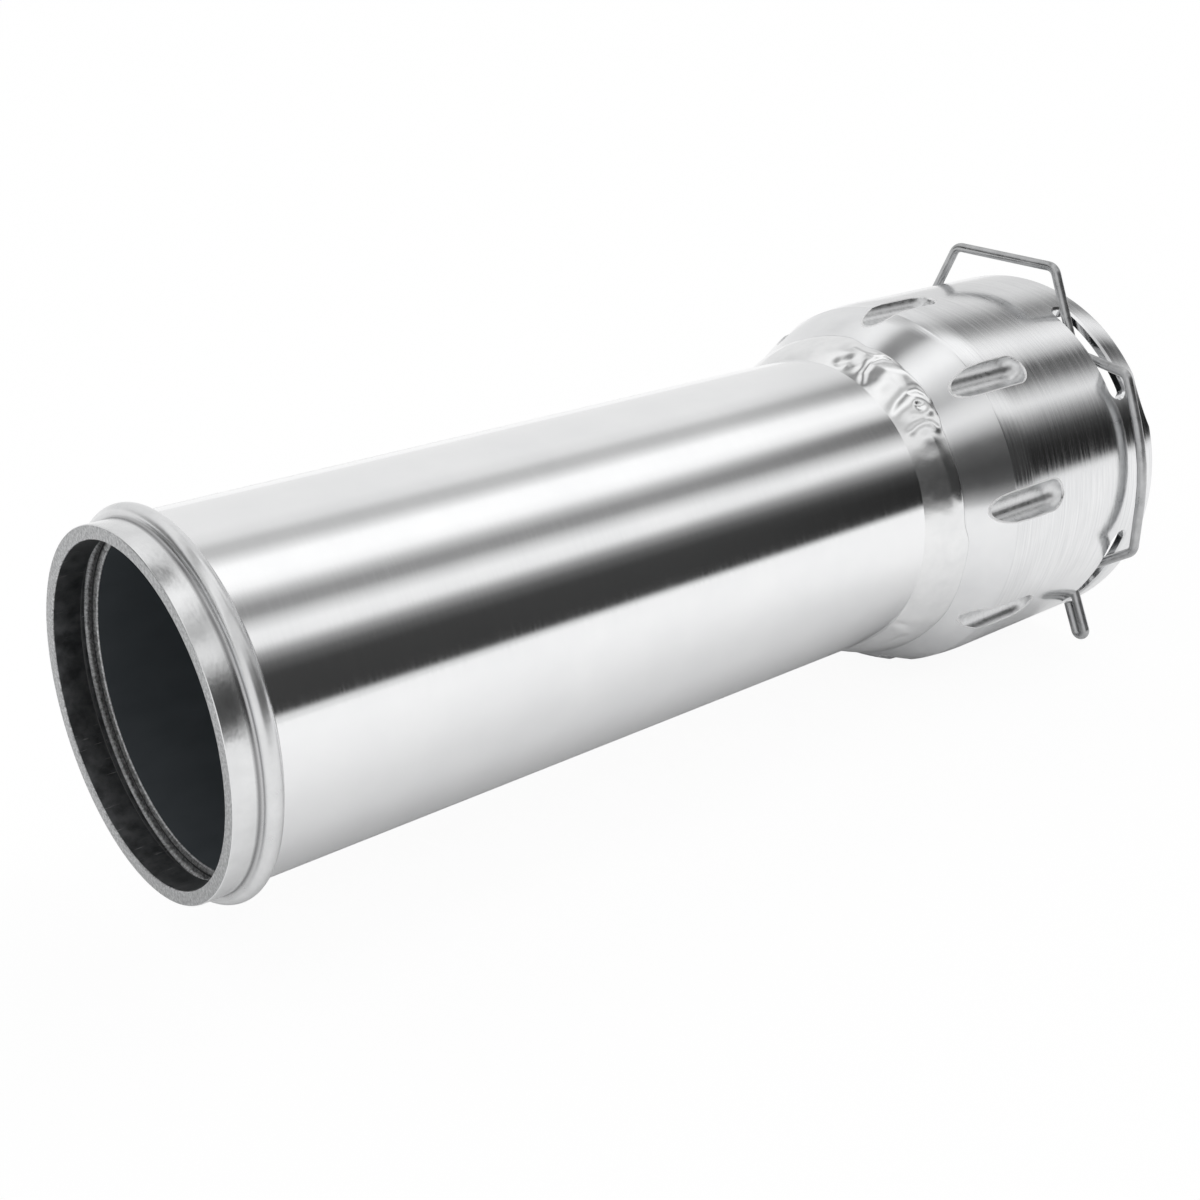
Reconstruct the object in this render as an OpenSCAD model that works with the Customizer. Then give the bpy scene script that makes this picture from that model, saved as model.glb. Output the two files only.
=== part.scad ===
// Intercooler tube: a straight charge air tube with a rolled hose bead at one end and a
// welded quick release socket, held by a spring wire clip, at the other.
// The tube's axis lies along +X, the centre of its hose end is the origin, and the pull
// loop of the clip points up, along +Z. All sizes are in millimetres.

/* [Tube] */
// Outside diameter of the tube
tube_od = 76.2; // [74:0.1:78]
// Wall thickness of the tube
tube_wall = 3; // [1.6:0.1:3.4]
// Length of the tube, from its hose end to its end inside the collar
tube_len = 198; // [80:1:400]

/* [Hose bead] */
// Plain lip ahead of the bead
lip_len = 5.3; // [3:0.1:12]
// Height of the bead over the tube
bead_h = 2.55; // [2:0.05:3.2]
// Radius of the bead's crest, seen in section
bead_crest_r = 1.9; // [1.7:0.05:2]
// Radius where the bead meets the tube
bead_toe_r = 0.75; // [0.4:0.05:1]
// Radius at the bottom of the groove that the rolling leaves inside
groove_r = 1.3; // [1:0.05:1.5]
// Metal left between the groove and the bead's crest
groove_skin = 2.75; // [2.4:0.05:3]
// How far the edges of the groove are rolled over, on each side
groove_flare = 0.5; // [0.2:0.05:0.8]

/* [Collar] */
// Wall of the collar over the socket
collar_wall = 4.7; // [4.4:0.1:6]
// Length of the collar
collar_len = 80.2; // [78:0.1:100]
// How far the tube reaches into the collar
tube_lap = 6; // [5:0.1:8]
// Clearance round the tube inside the collar
lap_clearance = 0.1; // [0.05:0.05:0.2]
// Thickness of the collar's nose, outside that clearance
nose_h = 0.6; // [0.4:0.1:1]
// Length of the weld bevel behind the nose
bevel_len = 9; // [7:0.1:11]
// Rise of the weld bevel
bevel_h = 3.3; // [3:0.1:4]
// Length of the shoulder behind the bevel
shoulder_len = 18; // [15:0.1:21]
// Length of the shoulder's steep part
shoulder_steep_len = 8; // [6:0.1:10]
// Rise of the shoulder's steep part
shoulder_steep_h = 3.8; // [3:0.1:4.5]
// Chamfer round the outside of the end face
end_chamfer = 0.6; // [0.2:0.1:1]

/* [Socket] */
// Bore that the mating spigot slides into
socket_bore = 88; // [87:0.1:90]
// Depth of the socket, from the end face to the stop
socket_depth = 37.6; // [36:0.1:42]
// Width of the stop that the spigot butts on
stop_w = 4; // [3:0.1:6]
// Length of the throat's plain stretch behind the stop
throat_len = 10; // [6:0.1:14]
// Length of the throat's flare
flare_len = 22; // [15:0.1:24]
// Extra radius of the mouth next to the end face
mouth_relief = 2.5; // [2.4:0.1:2.8]
// Length of the mouth's widest stretch, from the end face
mouth_len = 7.3; // [7:0.1:8]
// Extra radius under the clip slots
slot_relief = 1.9; // [1.2:0.1:1.9]
// Wall of full bore left between the seal groove and the mouth's lead-in
seal_land = 5.5; // [3:0.1:7]
// Lead-in chamfer of the mouth
mouth_chamfer = 0.8; // [0.3:0.1:1.2]
// Depth of the scallops in the end face
scallop_depth = 1.8; // [1:0.1:3]
// Width of the scallops
scallop_w = 17; // [12:0.5:20]
// Angle of the scallops, from the horizontal
scallop_angle = 29; // [20:1:35]

/* [Seal] */
// Thickness of the seal ring
seal_d = 2.6; // [2.2:0.1:2.6]
// How far the seal ring stands into the bore
seal_bite = 0.75; // [0.4:0.05:1]
// Side and bottom clearance of the seal ring in its groove
seal_clearance = 0.05; // [0.02:0.01:0.1]
// Extra width of the seal groove
seal_groove_room = 0.8; // [0.4:0.1:1.2]
// Distance from the clip plane to the middle of the seal groove
seal_from_clip = 17.2; // [14:0.1:19]

/* [Pockets] */
// Number of milled pockets round the collar
pocket_count = 9; // [5:1:10]
// Diameter of the ball ended cutter that leaves them
pocket_w = 8.1; // [6:0.1:9]
// Depth of the pockets in the plain part of the collar
pocket_depth = 3.5; // [2.5:0.1:3.8]
// How far the pockets reach past the end of the shoulder
pocket_reach = 12.5; // [10:0.1:16]

/* [Clip slots] */
// Half of the angle that each slot spans
slot_half_angle = 18; // [16:0.5:19]
// Angle of the middle of the upper slots, from the horizontal
slot_upper_angle = 50; // [49:0.5:52]
// Angle of the middle of the lower slots, below the horizontal
slot_lower_angle = 30; // [29:0.5:32]
// Width of the end ring, from the middle of the slots to the end face
end_ring = 9.9; // [8:0.1:12]
// Clearance of the wire in the slots, on each side
slot_clearance = 1.7; // [0.5:0.1:2]

/* [Spring clip] */
// Diameter of the spring wire
wire_d = 2.5; // [2:0.1:2.8]
// Half of the width of the pull loop, between its corners
loop_half_w = 16.3; // [14:0.1:18]
// Height of the pull loop over the collar, to the middle of the wire
loop_rise = 7.1; // [6:0.1:12]
// How far the bends in the slots reach inside the bore, to the middle of the wire
dip_in = 0.8; // [0.4:0.05:1.2]
// Angle of the bend in the upper slots
dip_upper_angle = 53.5; // [52:0.5:55]
// How much further in the lower bends reach
dip_step = 0.3; // [0:0.1:0.6]
// Angle of the bend in the lower slots, below the horizontal
dip_lower_angle = 38.2; // [37:0.1:40]
// Angle of the upper corner of the side bows
bow_upper_angle = 37.5; // [35:0.5:38]
// Height of that corner over the collar
bow_upper_rise = 4.6; // [4:0.1:6]
// Angle of the lower corner of the side bows, below the horizontal
bow_lower_angle = 15.4; // [13:0.5:17]
// Height of that corner over the collar
bow_lower_rise = 5.3; // [4.5:0.1:7]
// Gap between the side bows and the collar
bow_gap = 1.5; // [1:0.1:3]
// Bend radius of the wire at its corners
corner_r = 3; // [2.4:0.1:3.4]
// Bend radius along the side bows
bow_r = 60; // [40:1:70]
// Bend radius of the folded ends
fold_r = 2; // [1.5:0.1:2.4]
// Angle at which the folded ends point down
fold_angle = 64; // [60:1:68]
// How far the folded ends reach past the collar
fold_reach = 10; // [8:0.1:11]
// Distance from the wire's free ends to the collar
free_end_gap = 1; // [0.5:0.1:2]

/* [Hidden] */
round_facets = 96;
wire_facets = 24;
tiny = 0.001;
beyond = 2;
tube_r = tube_od / 2;
tube_bore_r = tube_r - tube_wall;
bead_crest_at = tube_r + bead_h - bead_crest_r;
bead_toe_at = tube_r + bead_toe_r;
bead_spread = sqrt(pow(bead_crest_r + bead_toe_r, 2) - pow(bead_toe_at - bead_crest_at, 2));
bead_x = lip_len + bead_spread;
groove_bottom = tube_r + bead_h - groove_skin;
collar_x = tube_len - tube_lap;
end_x = collar_x + collar_len;
bore_r = socket_bore / 2;
collar_r = bore_r + collar_wall;
lap_r = tube_r + lap_clearance;
nose_r = lap_r + nose_h;
bevel_x = collar_x + bevel_len;
bevel_r = nose_r + bevel_h;
shoulder_x = bevel_x + shoulder_len;
shoulder_slope = shoulder_steep_h / shoulder_steep_len;
stop_x = end_x - socket_depth;
throat_r = bore_r - stop_w;
mouth_r = bore_r + mouth_relief;
slot_relief_r = bore_r + slot_relief;
mouth_step_x = end_x - mouth_len;
clip_x = end_x - end_ring;
slot_w = wire_d + 2 * slot_clearance;
slot_angles = [slot_upper_angle, 180 - slot_upper_angle, 180 + slot_lower_angle, -slot_lower_angle];
seal_x = clip_x - seal_from_clip;
seal_ring_r = bore_r - seal_bite + seal_d / 2;
seal_groove_r = bore_r - seal_bite + seal_d + seal_clearance;
seal_groove_w = seal_d + seal_groove_room;
mouth_x = seal_x + seal_groove_w / 2 + seal_land + slot_relief;
pocket_cutter_r = pocket_w / 2;
pocket_axis_r = collar_r - pocket_depth + pocket_cutter_r;
pocket_end_x = shoulder_x + pocket_reach - pocket_cutter_r;
// The weld covers the bevel and runs out on the tube and on the shoulder
weld_out = 2;
weld_up = 0.4;
weld_step = 0.15;
weld_bulge = 0.7;
weld_toe = [tube_r + weld_step, collar_x - weld_out];
weld_end = [bevel_r + shoulder_slope * weld_up, bevel_x + weld_up];
weld_top = weld_end + [weld_step, 0];
weld_flank = weld_toe * 2 / 3 + weld_top / 3 + [weld_bulge, 0];
weld_crown = weld_toe / 3 + weld_top * 2 / 3 + [weld_bulge, 0];
// The bends are a hair thicker than the straight runs, which reach a little way into them
bend_swell = 0.02;
bend_lap = 0.05;
// The slots' round ends are a hair wider than their straight sides
slot_swell = 0.01;
scallop_r = pow(scallop_w, 2) / (8 * scallop_depth) + scallop_depth / 2;

// A point in the clip's plane, from its distance to the axis and its angle
function polar(r, angle) = [r * cos(angle), r * sin(angle)];
function unit(v) = v / norm(v);
// The turn of the wire at a corner, to the left if positive
function turn(a, b, c) = let (u = b - a, v = c - b)
    atan2(u[0] * v[1] - u[1] * v[0], u * v);
// The length that a bend takes from each of the legs that meet there
function bend_leg(a, b, c, r) = r * tan(abs(turn(a, b, c)) / 2);

// The wire's centre line on one side, as corner points with the bend radius of each
loop_corner = [loop_half_w, collar_r + loop_rise];
upper_dip = polar(bore_r - dip_in, dip_upper_angle);
bow_upper = polar(collar_r + bow_upper_rise, bow_upper_angle);
bow_lower = polar(collar_r + bow_lower_rise, -bow_lower_angle);
bow_chord = unit(bow_lower - bow_upper);
bow_out = [-bow_chord[1], bow_chord[0]];
bow_bulge = collar_r + bow_gap + wire_d / 2 - bow_upper * bow_out;
bow_middle = (bow_upper + bow_lower) / 2 + bow_out * bow_bulge * 1.34;
lower_dip = polar(bore_r - dip_in - dip_step, -dip_lower_angle);
fold_dir = polar(1, -fold_angle);
fold_side = [fold_dir[1], -fold_dir[0]];
fold_tip = fold_dir * (collar_r + fold_reach - wire_d / 2);
fold_first = lower_dip + fold_dir * ((fold_tip - lower_dip) * fold_dir);
fold_second = fold_first + fold_side * 2 * fold_r;
free_reach = sqrt(pow(collar_r + free_end_gap, 2) - pow(fold_second * fold_side, 2));
free_end = fold_second + fold_dir * (free_reach - fold_second * fold_dir);
half_wire = [
    [loop_corner, corner_r], [upper_dip, corner_r], [bow_upper, corner_r],
    [bow_middle, bow_r], [bow_lower, corner_r], [lower_dip, corner_r - wire_d / 5],
    [fold_first, fold_r], [fold_second, fold_r], [free_end, 0]
];
wire = concat(
    [for (i = [len(half_wire) - 1:-1:0]) [[-half_wire[i][0][0], half_wire[i][0][1]], half_wire[i][1]]],
    half_wire
);

// Turns an outline of [radius, station] points about the X axis
module turned() {
    rotate([0, 90, 0]) rotate_extrude($fn = round_facets) children();
}

// The rolled bead in section: a round crest, blended into the tube on both sides
module bead_section() {
    toes = [bead_x - bead_spread, bead_x + bead_spread];
    translate([bead_crest_at, bead_x]) circle(bead_crest_r, $fn = round_facets);
    difference() {
        polygon([
            [tube_r - tube_wall / 2, toes[0]], [bead_toe_at, toes[0]], [bead_crest_at, bead_x],
            [bead_toe_at, toes[1]], [tube_r - tube_wall / 2, toes[1]]
        ]);
        for (station = toes) {
            translate([bead_toe_at, station]) circle(bead_toe_r, $fn = round_facets);
        }
    }
}

// The hollow that the roller leaves behind the bead, open to the bore
module groove_section() {
    floor_at = groove_bottom - groove_r;
    translate([floor_at, bead_x]) circle(groove_r, $fn = round_facets);
    translate([tube_bore_r - beyond, bead_x - groove_r])
        square([floor_at - tube_bore_r + beyond, 2 * groove_r]);
    polygon([
        [tube_bore_r - beyond, bead_x - groove_r - groove_flare],
        [tube_bore_r, bead_x - groove_r - groove_flare],
        [tube_bore_r + 2 * groove_flare, bead_x - groove_r],
        [tube_bore_r + 2 * groove_flare, bead_x + groove_r],
        [tube_bore_r, bead_x + groove_r + groove_flare],
        [tube_bore_r - beyond, bead_x + groove_r + groove_flare]
    ]);
}

module tube() {
    color("silver") turned() difference() {
        union() {
            translate([tube_bore_r, 0]) square([tube_wall, tube_len]);
            bead_section();
        }
        groove_section();
    }
}

// One blind pocket, cut by a ball ended cutter that runs out through the shoulder
module pocket() {
    translate([pocket_end_x, pocket_axis_r, 0]) {
        sphere(pocket_cutter_r, $fn = round_facets);
        rotate([0, -90, 0]) cylinder(h = pocket_end_x - bevel_x, r = pocket_cutter_r, $fn = round_facets);
    }
}

// A slot along the collar's girth, with round ends
module slot() {
    depth = collar_wall + 2 * beyond;
    half_sweep = slot_half_angle - asin(slot_w / 2 / collar_r);
    rotate([90 - half_sweep, 0, 0]) rotate([0, 90, 0])
        rotate_extrude(angle = 2 * half_sweep, $fn = round_facets)
            translate([bore_r - beyond, -slot_w / 2]) square([depth, slot_w]);
    for (side = [-1, 1]) {
        rotate([side * half_sweep, 0, 0]) translate([0, bore_r - beyond, 0]) rotate([-90, 0, 0])
            cylinder(h = depth, r = slot_w / 2 + slot_swell, $fn = round_facets);
    }
}

// A shallow scallop in the end face, where the spigot's tongue is seen home
module scallop() {
    translate([end_x - scallop_depth + scallop_r, throat_r, 0]) rotate([-90, 0, 0])
        cylinder(h = collar_r, r = scallop_r, $fn = round_facets);
}

module collar() {
    color("lightgray") difference() {
        turned() polygon([
            [lap_r, collar_x],
            [nose_r, collar_x],
            [bevel_r, bevel_x],
            [bevel_r + shoulder_steep_h, bevel_x + shoulder_steep_len],
            [collar_r, shoulder_x],
            [collar_r, end_x - end_chamfer],
            [collar_r - end_chamfer, end_x],
            [mouth_r + mouth_chamfer, end_x],
            [mouth_r, end_x - mouth_chamfer],
            [mouth_r, mouth_step_x],
            [slot_relief_r, mouth_step_x - mouth_relief + slot_relief],
            [slot_relief_r, mouth_x],
            [bore_r, mouth_x - slot_relief],
            [bore_r, seal_x + seal_groove_w / 2],
            [seal_groove_r, seal_x + seal_groove_w / 2],
            [seal_groove_r, seal_x - seal_groove_w / 2],
            [bore_r, seal_x - seal_groove_w / 2],
            [bore_r, stop_x],
            [throat_r, stop_x],
            [throat_r, stop_x - throat_len],
            [tube_bore_r, stop_x - throat_len - flare_len],
            [tube_bore_r, tube_len],
            [lap_r, tube_len]
        ]);
        for (i = [0:pocket_count - 1]) {
            rotate([90 + i * 360 / pocket_count, 0, 0]) pocket();
        }
        for (angle = slot_angles) {
            translate([clip_x, 0, 0]) rotate([angle, 0, 0]) slot();
        }
        for (angle = [scallop_angle, 180 - scallop_angle]) {
            rotate([angle, 0, 0]) scallop();
        }
    }
}

// The fillet weld that joins the tube to the collar's nose
module weld_bead() {
    color("gainsboro") turned() polygon([
        [tube_r, collar_x - weld_out],
        weld_toe,
        weld_flank,
        weld_crown,
        weld_top,
        weld_end,
        [bevel_r, bevel_x],
        [nose_r, collar_x],
        [lap_r, collar_x],
        [tube_r, collar_x]
    ]);
}

module seal_ring() {
    color("dimgray") turned() translate([seal_ring_r, seal_x])
        circle(seal_d / 2, $fn = round_facets);
}

// A straight run of the wire between two points of the clip's plane
module wire_run(a, b) {
    if (norm(b - a) > tiny) {
        translate([a[0], a[1], 0]) rotate([0, 0, atan2(b[1] - a[1], b[0] - a[0])])
            rotate([0, 90, 0]) translate([0, 0, -bend_lap])
                cylinder(h = norm(b - a) + 2 * bend_lap, d = wire_d, $fn = wire_facets);
    }
}

// A bend of the wire at b, on its way from a to c
module wire_bend(a, b, c, r) {
    bend = turn(a, b, c);
    side = bend > 0 ? 1 : -1;
    heading = atan2(b[1] - a[1], b[0] - a[0]);
    start = b - unit(b - a) * bend_leg(a, b, c, r);
    centre = start + polar(r, heading + side * 90);
    translate([centre[0], centre[1], 0])
        rotate([0, 0, bend > 0 ? heading - 90 : heading + 90 + bend])
            rotate_extrude(angle = abs(bend), $fn = round_facets)
                translate([r, 0]) circle(d = wire_d + bend_swell, $fn = wire_facets);
}

// The clip: one length of round wire, bent in a single plane
module spring_clip() {
    last = len(wire) - 1;
    points = [for (w = wire) w[0]];
    legs = [for (i = [0:last])
        i == 0 || i == last ? 0 : bend_leg(points[i - 1], points[i], points[i + 1], wire[i][1])];
    color("gray") translate([clip_x, 0, 0]) rotate([90, 0, 90]) {
        for (i = [0:last - 1]) {
            along = unit(points[i + 1] - points[i]);
            wire_run(points[i] + along * legs[i], points[i + 1] - along * legs[i + 1]);
        }
        for (i = [1:last - 1]) {
            wire_bend(points[i - 1], points[i], points[i + 1], wire[i][1]);
        }
    }
}

tube();
collar();
weld_bead();
seal_ring();
spring_clip();
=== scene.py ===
import math
import bpy
from mathutils import Matrix, Vector


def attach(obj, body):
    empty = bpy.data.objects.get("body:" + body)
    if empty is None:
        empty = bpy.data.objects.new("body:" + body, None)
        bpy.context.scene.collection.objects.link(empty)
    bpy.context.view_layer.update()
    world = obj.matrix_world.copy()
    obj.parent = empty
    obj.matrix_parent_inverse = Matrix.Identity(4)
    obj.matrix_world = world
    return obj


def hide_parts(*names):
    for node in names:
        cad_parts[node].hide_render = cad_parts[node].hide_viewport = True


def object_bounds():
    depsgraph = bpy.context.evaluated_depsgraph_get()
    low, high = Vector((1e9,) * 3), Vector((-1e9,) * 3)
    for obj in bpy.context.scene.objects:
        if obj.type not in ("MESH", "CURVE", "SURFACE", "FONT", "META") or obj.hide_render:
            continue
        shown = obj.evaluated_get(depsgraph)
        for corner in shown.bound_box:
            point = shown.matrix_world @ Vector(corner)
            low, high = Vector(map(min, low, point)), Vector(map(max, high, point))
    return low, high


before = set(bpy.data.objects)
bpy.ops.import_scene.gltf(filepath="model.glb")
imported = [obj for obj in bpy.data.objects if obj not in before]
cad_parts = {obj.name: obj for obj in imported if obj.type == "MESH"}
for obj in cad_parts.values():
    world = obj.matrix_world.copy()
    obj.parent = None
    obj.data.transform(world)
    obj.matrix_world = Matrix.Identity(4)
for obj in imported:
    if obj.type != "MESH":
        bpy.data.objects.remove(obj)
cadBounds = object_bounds()
mm = 0.001


def deselectAll():
    if bpy.context.object and bpy.context.object.mode != "OBJECT":
        bpy.ops.object.mode_set(mode="OBJECT")
    bpy.ops.object.select_all(action="DESELECT")


def roundCorners(corners, stepAngle=12):
    # corners are (station, radius, rounding) in mm; a rounding of 0 keeps the corner sharp
    points = []
    count = len(corners)
    for i in range(count):
        x, r, rounding = corners[i]
        here = Vector((x, r))
        if rounding == 0:
            points.append(here)
            continue
        before = (Vector(corners[i - 1][:2]) - here).normalized()
        after = (Vector(corners[(i + 1) % count][:2]) - here).normalized()
        half = before.angle(after) / 2
        leg = rounding / math.tan(half)
        centre = here + (before + after).normalized() * rounding / math.sin(half)
        first = here + before * leg - centre
        last = here + after * leg - centre
        turn = math.atan2(first.x * last.y - first.y * last.x, first.dot(last))
        steps = max(2, math.ceil(abs(math.degrees(turn)) / stepAngle), math.ceil(abs(turn) * rounding))
        for k in range(steps + 1):
            part = turn * k / steps
            points.append(centre + Vector((first.x * math.cos(part) - first.y * math.sin(part),
                                           first.x * math.sin(part) + first.y * math.cos(part))))
    return points


def arcPoints(cx, cr, radius, start, stop, steps):
    # points along an arc, in (station, radius), angles in degrees from +X towards larger radius
    points = []
    for k in range(steps + 1):
        angle = math.radians(start + (stop - start) * k / steps)
        points.append(Vector((cx + radius * math.cos(angle), cr + radius * math.sin(angle))))
    return points


def splitLong(outline, longest):
    # extra points along the outline's long stretches, so that a cut leaves small faces
    points = []
    for i, here in enumerate(outline):
        step = outline[(i + 1) % len(outline)] - here
        parts = max(1, math.ceil(step.length / longest))
        points += [here + step * k / parts for k in range(parts)]
    return points


def makeActive(piece):
    deselectAll()
    piece.select_set(True)
    bpy.context.view_layer.objects.active = piece


def turnOutline(name, outline, steps):
    # the outline is drawn from one vertex by extruding, then spun about the X axis
    deselectAll()
    bpy.ops.mesh.primitive_plane_add(size=mm, location=(outline[0].x * mm, 0, outline[0].y * mm))
    piece = bpy.context.object
    piece.name = name
    bpy.ops.object.transform_apply(location=True, rotation=True, scale=True)
    bpy.ops.object.mode_set(mode="EDIT")
    bpy.ops.mesh.select_all(action="SELECT")
    bpy.ops.mesh.merge(type="CENTER")
    for i in range(len(outline)):
        step = outline[(i + 1) % len(outline)] - outline[i]
        move = (step.x * mm, 0, step.y * mm)
        bpy.ops.mesh.extrude_region_move(TRANSFORM_OT_translate={"value": move})
    bpy.ops.mesh.select_all(action="SELECT")
    bpy.ops.mesh.remove_doubles(threshold=1e-7)
    bpy.ops.mesh.spin(steps=steps, angle=2 * math.pi, center=(0, 0, 0), axis=(1, 0, 0))
    bpy.ops.mesh.select_all(action="SELECT")
    bpy.ops.mesh.remove_doubles(threshold=2e-7)
    bpy.ops.mesh.normals_make_consistent(inside=False)
    bpy.ops.object.mode_set(mode="OBJECT")
    return piece


def smoothByAngle(piece, degrees):
    makeActive(piece)
    bpy.ops.object.shade_smooth_by_angle(angle=math.radians(degrees))


def cutAway(piece, cutters):
    # each cutter is taken out of the piece by an applied boolean, then deleted
    for cutter in cutters:
        makeActive(piece)
        cut = piece.modifiers.new("cut", "BOOLEAN")
        cut.operation = "DIFFERENCE"
        cut.solver = "EXACT"
        cut.object = cutter
        bpy.ops.object.modifier_apply(modifier=cut.name)
        deselectAll()
        cutter.select_set(True)
        bpy.ops.object.delete()


def pullApart(piece, move, chosen):
    # moves the vertices for which chosen is true, as a selection in edit mode
    vertices = piece.data.vertices
    for vertex in vertices:
        vertex.select = chosen(vertex.co)
    for edge in piece.data.edges:
        edge.select = all(vertices[i].select for i in edge.vertices)
    for face in piece.data.polygons:
        face.select = all(vertices[i].select for i in face.vertices)
    bpy.ops.object.mode_set(mode="EDIT")
    bpy.ops.transform.translate(value=move)
    bpy.ops.object.mode_set(mode="OBJECT")


def turnedCopies(model, angles):
    # copies of a shape modelled at the top, turned about the X axis, joined as one; angles are
    # from the camera's side (-Y) towards the top, in degrees
    copies = []
    for angle in angles:
        makeActive(model)
        bpy.ops.object.duplicate()
        copy = bpy.context.object
        copy.rotation_euler = (math.radians(90 - angle), 0, 0)
        bpy.ops.object.transform_apply(location=True, rotation=True, scale=True)
        copies.append(copy)
    deselectAll()
    model.select_set(True)
    bpy.ops.object.delete()
    deselectAll()
    for copy in copies:
        copy.select_set(True)
    bpy.context.view_layer.objects.active = copies[0]
    bpy.ops.object.join()
    return bpy.context.object


def dress(piece, finishes):
    # adds the materials in order, and gives each one's index by its name
    for makeFinish in finishes.values():
        piece.data.materials.append(makeFinish())
    return {name: i for i, name in enumerate(finishes)}


# camera, at the photograph's place
cameraSettings = {
    "place": (-0.12007, -0.27367, 0.15154),
    "forward": (0.6018, 0.6906, -0.4011),
    "up": (0.2486, 0.3153, 0.9158),
    "lens": 50.32,
    "sensor": 36.0,
}


def makeCamera():
    forward = Vector(cameraSettings["forward"]).normalized()
    right = forward.cross(Vector(cameraSettings["up"])).normalized()
    up = right.cross(forward)
    cameraData = bpy.data.cameras.new("photoCamera")
    cameraData.lens = cameraSettings["lens"]
    cameraData.sensor_width = cameraSettings["sensor"]
    cameraData.clip_start = 0.01
    camera = bpy.data.objects.new("photoCamera", cameraData)
    bpy.context.scene.collection.objects.link(camera)
    turn = Matrix((right, up, -forward)).transposed()
    camera.matrix_world = Matrix.Translation(cameraSettings["place"]) @ turn.to_4x4()
    bpy.context.scene.camera = camera


makeCamera()
print("camera placed")


# node helpers
def newMaterial(name):
    material = bpy.data.materials.new(name)
    material.use_nodes = True
    nodes = material.node_tree.nodes
    nodes.clear()
    output = nodes.new("ShaderNodeOutputMaterial")
    shader = nodes.new("ShaderNodeBsdfPrincipled")
    material.node_tree.links.new(shader.outputs["BSDF"], output.inputs["Surface"])
    return material, nodes, material.node_tree.links, shader


def mathNode(nodes, links, operation, first, second=None):
    node = nodes.new("ShaderNodeMath")
    node.operation = operation
    for i, value in enumerate([first, second]):
        if value is None:
            continue
        if isinstance(value, (int, float)):
            node.inputs[i].default_value = value
        else:
            links.new(value, node.inputs[i])
    return node.outputs[0]


def rampNode(nodes, links, value, stops):
    # stops are (place, grey) or (place, (r, g, b))
    node = nodes.new("ShaderNodeValToRGB")
    elements = node.color_ramp.elements
    while len(elements) < len(stops):
        elements.new(1.0)
    for element, (place, colour) in zip(elements, stops):
        element.position = place
    for element, (place, colour) in zip(elements, stops):
        if isinstance(colour, (int, float)):
            colour = (colour, colour, colour)
        element.color = (*colour, 1.0)
    links.new(value, node.inputs["Fac"])
    return node.outputs["Color"]


def noiseNode(nodes, links, scale, detail=3.0, rough=0.5, offset=(0, 0, 0)):
    # noise on Object coordinates, with its own scale along each axis, in cycles a metre
    coords = nodes.new("ShaderNodeTexCoord")
    mapping = nodes.new("ShaderNodeMapping")
    mapping.inputs["Scale"].default_value = scale
    mapping.inputs["Location"].default_value = offset
    noise = nodes.new("ShaderNodeTexNoise")
    noise.inputs["Scale"].default_value = 1.0
    noise.inputs["Detail"].default_value = detail
    noise.inputs["Roughness"].default_value = rough
    links.new(coords.outputs["Object"], mapping.inputs["Vector"])
    links.new(mapping.outputs["Vector"], noise.inputs["Vector"])
    return noise.outputs["Fac"]


def objectPlace(nodes, links):
    coords = nodes.new("ShaderNodeTexCoord")
    split = nodes.new("ShaderNodeSeparateXYZ")
    links.new(coords.outputs["Object"], split.inputs[0])
    return split.outputs["X"], split.outputs["Y"], split.outputs["Z"]


def rootOfSquares(nodes, links, *parts):
    total = 0.0
    for part in parts:
        total = mathNode(nodes, links, "ADD", total, mathNode(nodes, links, "MULTIPLY", part, part))
    return mathNode(nodes, links, "SQRT", total)


def mapRange(nodes, links, value, fromLow, fromHigh, toLow, toHigh):
    node = nodes.new("ShaderNodeMapRange")
    node.inputs["From Min"].default_value = fromLow
    node.inputs["From Max"].default_value = fromHigh
    node.inputs["To Min"].default_value = toLow
    node.inputs["To Max"].default_value = toHigh
    links.new(value, node.inputs["Value"])
    return node.outputs["Result"]


def bumpNode(nodes, links, height, strength, distance, normal=None):
    node = nodes.new("ShaderNodeBump")
    node.inputs["Strength"].default_value = strength
    node.inputs["Distance"].default_value = distance
    links.new(height, node.inputs["Height"])
    if normal is not None:
        links.new(normal, node.inputs["Normal"])
    return node.outputs["Normal"]


# studio: a white floor and a surrounding light tent with dark and grey strips along the tube;
# the ranges say between which X directions one set of strips gives way to the next
studio = {
    "floorSize": 14.0, "floorGap": 0.0002, "paper": 0.92,
    "cameraWhite": 0.9, "cameraGlow": 1.04,
    "mirrorWhite": 0.85, "mirrorShade": 0.24, "shadeSamples": 4, "shadePower": 2.0,
    "tentStrength": 1.1, "lean": 0.26, "leanFrom": 0.6, "leanRange": (0.3, 0.8),
    "backRange": (-0.65, -0.4), "nearRange": (0.27, 0.34), "farRange": (0.70, 0.76),
    "gamma": 2.2,
}
# brightness of the tent against the elevation seen from the tube, 0 towards the camera's side
# and 90 overhead
tentStrips = [
    (-180, 228), (-150, 232), (-100, 228), (-60, 230), (-20, 228), (-4, 220), (1.8, 220), (4.8, 58),
    (14, 60), (28, 62), (35, 92), (41, 150), (47, 232), (54, 238), (60, 205), (66, 143),
    (71, 140), (77, 185), (84, 246), (90, 255), (101, 254), (106, 222), (112, 186),
    (118, 184), (125, 218), (135, 227), (160, 226), (180, 228),
]
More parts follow.
